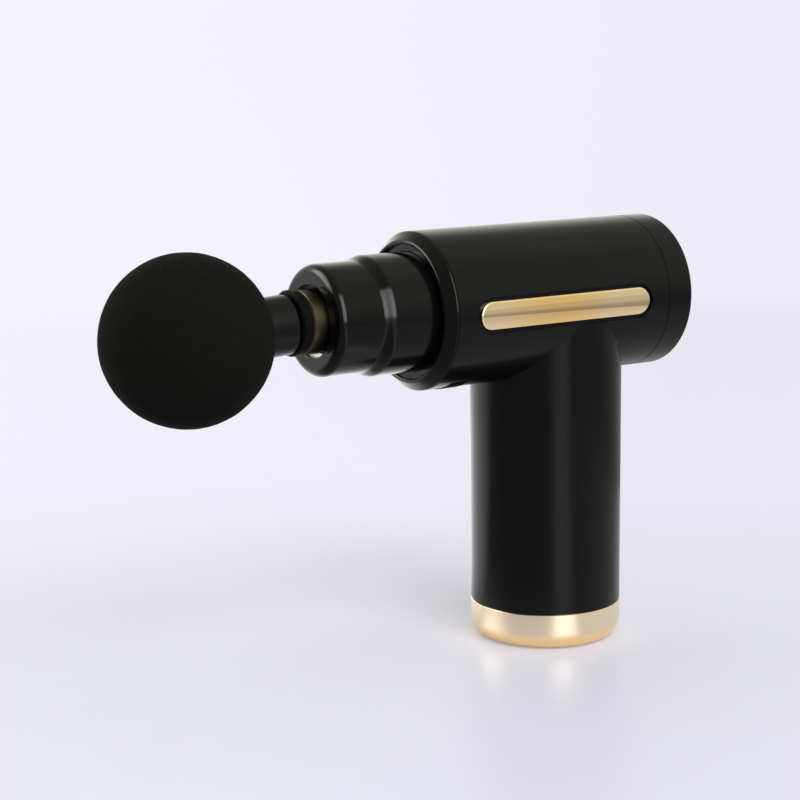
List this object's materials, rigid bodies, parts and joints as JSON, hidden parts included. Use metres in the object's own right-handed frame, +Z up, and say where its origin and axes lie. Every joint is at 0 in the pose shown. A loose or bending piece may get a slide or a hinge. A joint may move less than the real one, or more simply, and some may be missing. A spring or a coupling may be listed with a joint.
{
  "type": "massage gun",
  "caption": "T-shaped cordless massage gun: black round barrel and handle, gold side strips and base cap, stepped nose and a black foam ball head on a sliding stem.",
  "frame": {"origin": "centre of the flat underside of the base cap, on the handle's axis", "axes": "+Z up along the handle; the barrel lies along X with the head towards -X and the rear cap towards +X; Y is across"},
  "size_m": [0.1855, 0.0482, 0.1277],
  "materials": {
    "housing_black": "satin black coat with a fine even grain",
    "nose_black": "semi-gloss black moulding",
    "cap_black": "satin black coat with a fine even grain",
    "button_black": "black button with a dished face",
    "light_guide": "milky translucent light guide",
    "gold_polished": "mirror-polished pale gold plate",
    "gold_satin": "satin champagne gold plate",
    "foam_black": "matte black closed-cell foam with a fine grain",
    "stem_black": "satin black moulding",
    "gasket_rubber": "dull black rubber",
    "seal_rubber": "black nitrile rubber",
    "cover_silicone": "soft black silicone",
    "piston_bronze": "turned bronze-coloured metal",
    "bush_steel": "bright turned steel",
    "steel_screws": "plated steel",
    "bearing_steel": "ground steel",
    "bell_steel": "turned steel",
    "lamination_steel": "stacked sheet steel",
    "crank_steel": "turned steel",
    "magnets": "nickel-plated magnets",
    "copper_wire": "enamelled copper wire",
    "nickel": "nickel strip",
    "cast_aluminium": "turned aluminium",
    "rod_aluminium": "milled aluminium",
    "socket_steel": "drawn steel shell",
    "circuit_board": "green solder mask",
    "board_parts": "moulded black components",
    "holder_plastic": "moulded black plastic",
    "cell_sleeve": "blue shrink sleeve",
    "lead_red": "red insulated wire",
    "lead_black": "black insulated wire"
  },
  "bodies": {
    "housing": {"main_housing": "housing_black", "front_ring": "nose_black", "nose": "nose_black", "nose_screws": "steel_screws", "guide_bush": "bush_steel", "rear_cap": "cap_black", "light_ring": "light_guide", "control_board": "circuit_board", "board_parts": "board_parts", "tact_switch": "board_parts", "board_screws": "steel_screws", "side_strip_left": "gold_polished", "side_strip_right": "gold_polished", "base_cap": "gold_satin", "cell_holder_lower": "holder_plastic", "cell_holder_upper": "holder_plastic", "cell_1": "cell_sleeve", "cell_2": "cell_sleeve", "cell_3": "cell_sleeve", "cell_links": "nickel", "motor_mount": "cast_aluminium", "motor_screws": "steel_screws", "motor_bearings": "bearing_steel", "stator_core": "lamination_steel", "stator_windings": "copper_wire", "usb_socket": "socket_steel", "charge_board": "circuit_board", "charge_leads": "lead_red", "battery_leads": "lead_red", "motor_leads": "lead_black"},
    "rotor": {"motor_shaft": "bearing_steel", "rotor_bell": "bell_steel", "rotor_magnets": "magnets", "crank_disc": "crank_steel", "crank_pin": "bearing_steel", "crank_pin_washer": "steel_screws"},
    "rod": {"connecting_rod": "rod_aluminium", "rod_bearing": "bearing_steel", "wrist_pin": "bearing_steel"},
    "piston": {"piston": "piston_bronze"},
    "head": {"head_stem": "stem_black", "stem_o_rings": "seal_rubber", "head_gasket": "gasket_rubber", "head_ball": "foam_black"},
    "button": {"power_button": "button_black"},
    "cover": {"port_cover": "cover_silicone"}
  },
  "joints": [
    {"name": "crank_spin", "type": "hinge", "parent": "housing", "child": "rotor", "pos_m": [0, 0, 0.09], "axis": [0, 0, 1], "continuous": true},
    {"name": "rod_orbit", "type": "hinge", "parent": "rotor", "child": "rod", "pos_m": [-0.0035, 0, 0.1045], "axis": [0, 0, 1], "continuous": true},
    {"name": "piston_stroke", "type": "slide", "parent": "housing", "child": "piston", "axis": [1, 0, 0], "range_m": [0, 0.007]},
    {"name": "head_release", "type": "slide", "parent": "piston", "child": "head", "axis": [-1, 0, 0], "range_m": [0, 0.03]},
    {"name": "power_press", "type": "slide", "parent": "housing", "child": "button", "axis": [-1, 0, 0], "range_m": [0, 0.0008], "stiffness_N_per_m": 1500, "springref_m": -0.0002},
    {"name": "port_cover_hinge", "type": "hinge", "parent": "housing", "child": "cover", "pos_m": [-0.0365, 0, 0.0812], "axis": [0, -1, 0], "range_deg": [0, 110]}
  ],
  "couplings": [
    {"joint": "rod_orbit", "follows": "crank_spin", "ratio": -1}
  ]
}
